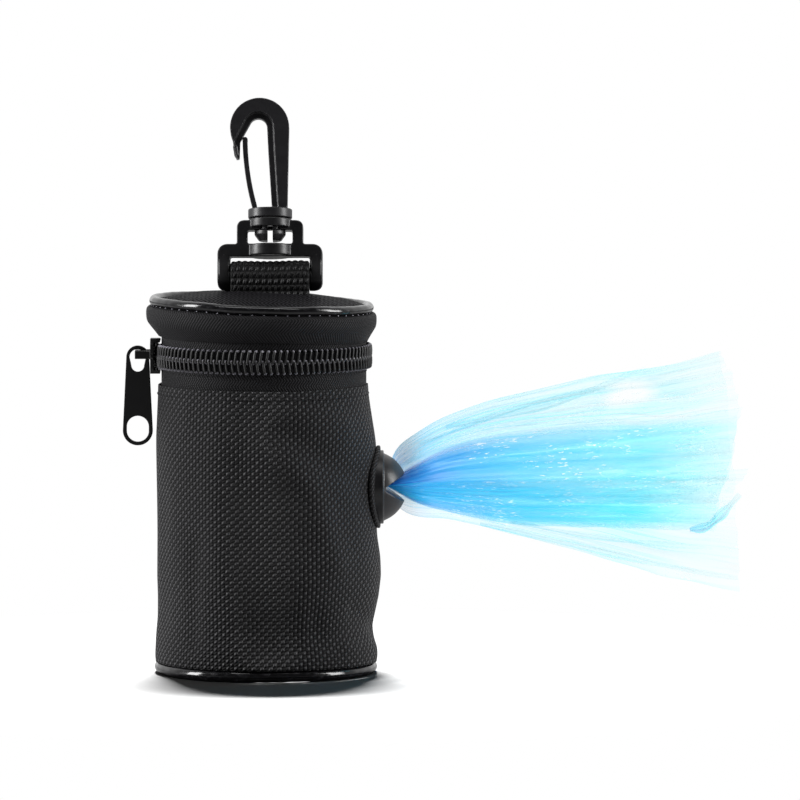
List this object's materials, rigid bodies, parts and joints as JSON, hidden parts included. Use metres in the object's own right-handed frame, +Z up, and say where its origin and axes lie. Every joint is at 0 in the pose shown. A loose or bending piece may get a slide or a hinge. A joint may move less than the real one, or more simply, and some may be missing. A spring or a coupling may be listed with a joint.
{
  "type": "dog poop bag dispenser",
  "caption": "Round zipped fabric pouch for a roll of bags, with a domed lid, rubber side outlet and a swivel snap hook on a webbing loop.",
  "frame": {"origin": "centre of the pouch's base, on the surface it stands on", "axes": "+Z up along the pouch, +X towards the outlet and the bag, -Y towards the front"},
  "size_m": [0.1566, 0.0572, 0.1438],
  "materials": {
    "wall_fabric": "matte",
    "lid_fabric": "matte",
    "band_tape": "matte",
    "zip_tape": "matte",
    "webbing": "matte",
    "zip_coil": "glossy",
    "piping_vinyl": "glossy",
    "black_metal": "satin",
    "black_acetal": "satin",
    "outlet_rubber": "matte",
    "board": "matte",
    "card": "matte",
    "blue_film_roll": "satin",
    "blue_film": "satin, see-through"
  },
  "bodies": {
    "pouch": {"wall_panel": "wall_fabric", "wall_seam_tape": "zip_tape", "base_panel": "wall_fabric", "base_board": "board", "base_piping": "piping_vinyl", "base_binding": "zip_tape", "zip_tape_lower": "zip_tape", "zip_coil_lower": "zip_coil", "zip_stops_lower": "black_metal", "hinge_panel": "wall_fabric", "outlet_patch": "wall_fabric", "outlet_backing": "wall_fabric", "outlet_grommet": "outlet_rubber", "film_lead": "blue_film"},
    "lid": {"lid_panel": "lid_fabric", "lid_piping": "piping_vinyl", "lid_band": "band_tape", "lid_binding": "zip_tape", "zip_tape_upper": "zip_tape", "zip_coil_upper": "zip_coil", "zip_stops_upper": "black_metal", "strap_loop": "webbing", "strap_patch": "lid_fabric"},
    "slider": {"zip_slider": "black_metal"},
    "pull": {"zip_pull": "black_metal"},
    "swivel": {"swivel_base": "black_acetal"},
    "hook": {"swivel_hook": "black_acetal"},
    "gate": {"hook_gate": "black_acetal"},
    "roll": {"roll_core": "card", "bag_roll": "blue_film_roll"},
    "bag_tail": {"bag_film": "blue_film"}
  },
  "joints": [
    {"name": "lid_open", "type": "hinge", "parent": "pouch", "child": "lid", "pos_m": [-0.02017, 0.01576, 0.0796], "axis": [-0.6157, -0.788, 0], "range_deg": [0, 100], "deforming": ["hinge_panel", "zip_tape_upper"]},
    {"name": "slider_travel", "type": "hinge", "parent": "pouch", "child": "slider", "pos_m": [0, 0, 0.0796], "axis": [0, 0, 1], "range_deg": [0, 284.46], "deforming": ["zip_coil_lower", "zip_coil_upper"]},
    {"name": "pull_swing", "type": "hinge", "parent": "slider", "child": "pull", "pos_m": [-0.03155, 0.00013, 0.0799], "axis": [0.004, 1, 0], "range_deg": [0, 120]},
    {"name": "buckle_tilt", "type": "hinge", "parent": "lid", "child": "swivel", "pos_m": [0.00155, 0, 0.0987], "axis": [1, 0, 0], "range_deg": [-54, 76]},
    {"name": "hook_swivel", "type": "hinge", "parent": "swivel", "child": "hook", "pos_m": [0.00155, 0.00334, 0.1159], "axis": [0, 0.1908, 0.9816], "continuous": true},
    {"name": "gate_press", "type": "hinge", "parent": "hook", "child": "gate", "pos_m": [-0.00235, 0.00348, 0.11659], "axis": [0, 0.9816, -0.1908], "range_deg": [0, 14], "stiffness_Nm_per_rad": 0.3, "springref_deg": -2.86},
    {"name": "roll_spin", "type": "hinge", "parent": "pouch", "child": "roll", "pos_m": [0, 0, 0.0026], "axis": [0, 0, 1], "range_deg": [0, 90]},
    {"name": "bag_pull", "type": "slide", "parent": "pouch", "child": "bag_tail", "axis": [1, 0, 0], "range_m": [0, 0.0268]}
  ],
  "couplings": [
    {"joint": "bag_pull", "follows": "roll_spin", "m_per_rad": 0.017}
  ]
}
